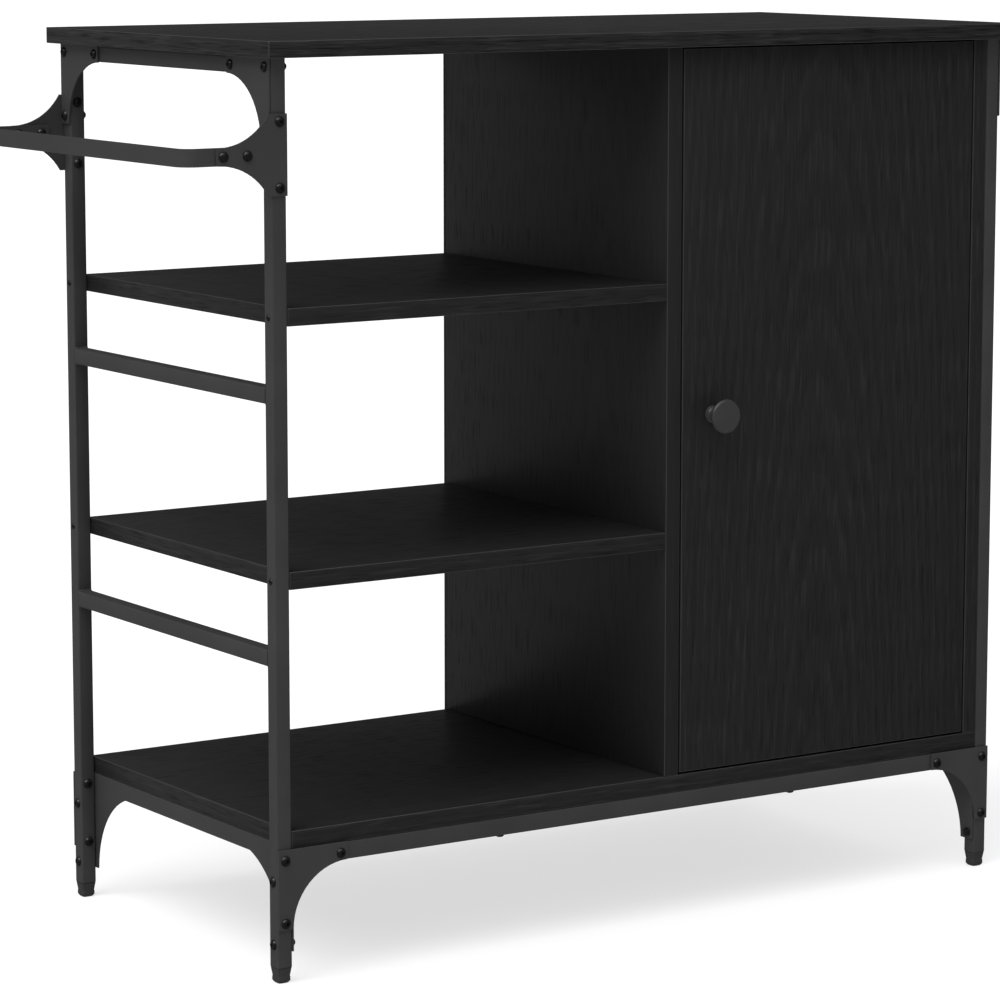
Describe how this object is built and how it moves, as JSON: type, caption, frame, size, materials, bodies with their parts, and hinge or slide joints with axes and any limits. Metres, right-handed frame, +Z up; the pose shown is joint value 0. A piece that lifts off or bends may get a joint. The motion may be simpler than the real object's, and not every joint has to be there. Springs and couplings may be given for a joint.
{
  "type": "kitchen island cart",
  "caption": "Kitchen island cart: steel tube frame, board worktop, open shelves on one side, a cabinet with a hinged door and round knob, and a bar handle at one end.",
  "frame": {"origin": "on the floor, under the centre of the whole cart with its handle and knob", "axes": "+X along the length, from the handle end to the cabinet end; +Y to the back; +Z up"},
  "size_m": [0.9252, 0.4344, 0.845],
  "materials": {
    "black_oak": "engineered board with a black oak foil, fine open grain, satin",
    "black_steel": "matt black powder-coated steel",
    "black_plastic": "moulded black plastic",
    "nickel_steel": "nickel-plated steel, satin",
    "black_hardboard": "thin hardboard with a plain black face"
  },
  "bodies": {
    "cart": {"worktop": "black_oak", "bottom_board": "black_oak", "upper_shelf": "black_oak", "lower_shelf": "black_oak", "divider_panel": "black_oak", "right_side_panel": "black_oak", "cabinet_shelf": "black_oak", "back_panel": "black_hardboard", "front_left_post": "black_steel", "front_left_gusset": "black_steel", "front_left_corner_plate": "black_steel", "front_left_foot": "black_plastic", "front_left_shelf_pin": "nickel_steel", "front_right_post": "black_steel", "front_right_gusset": "black_steel", "front_right_corner_plate": "black_steel", "front_right_foot": "black_plastic", "front_right_shelf_pin": "nickel_steel", "front_bottom_rail": "black_steel", "front_handle_bracket": "black_steel", "front_handle_bolt_1": "black_steel", "front_handle_bolt_2": "black_steel", "rear_left_post": "black_steel", "rear_left_gusset": "black_steel", "rear_left_corner_plate": "black_steel", "rear_left_foot": "black_plastic", "rear_left_shelf_pin": "nickel_steel", "rear_right_post": "black_steel", "rear_right_gusset": "black_steel", "rear_right_corner_plate": "black_steel", "rear_right_foot": "black_plastic", "rear_right_shelf_pin": "nickel_steel", "rear_bottom_rail": "black_steel", "rear_handle_bracket": "black_steel", "rear_handle_bolt_1": "black_steel", "rear_handle_bolt_2": "black_steel", "left_top_rail": "black_steel", "left_upper_rail": "black_steel", "left_lower_rail": "black_steel", "left_bottom_plate": "black_steel", "right_top_rail": "black_steel", "right_upper_rail": "black_steel", "right_lower_rail": "black_steel", "right_bottom_plate": "black_steel", "handle_bar": "black_steel", "rail_screw_1": "black_steel", "rail_screw_2": "black_steel", "magnetic_catch": "black_plastic", "upper_hinge_arm": "nickel_steel", "upper_hinge_plate": "nickel_steel", "lower_hinge_arm": "nickel_steel", "lower_hinge_plate": "nickel_steel"},
    "door": {"door_panel": "black_oak", "knob": "black_steel", "knob_screw": "nickel_steel", "strike_plate": "nickel_steel", "upper_hinge_cup": "nickel_steel", "upper_hinge_link": "nickel_steel", "lower_hinge_cup": "nickel_steel", "lower_hinge_link": "nickel_steel"}
  },
  "joints": [
    {"name": "door_hinge", "type": "hinge", "parent": "cart", "child": "door", "pos_m": [0.4161, -0.19135, 0.4848], "axis": [0, 0, 1], "range_deg": [0, 105]}
  ]
}
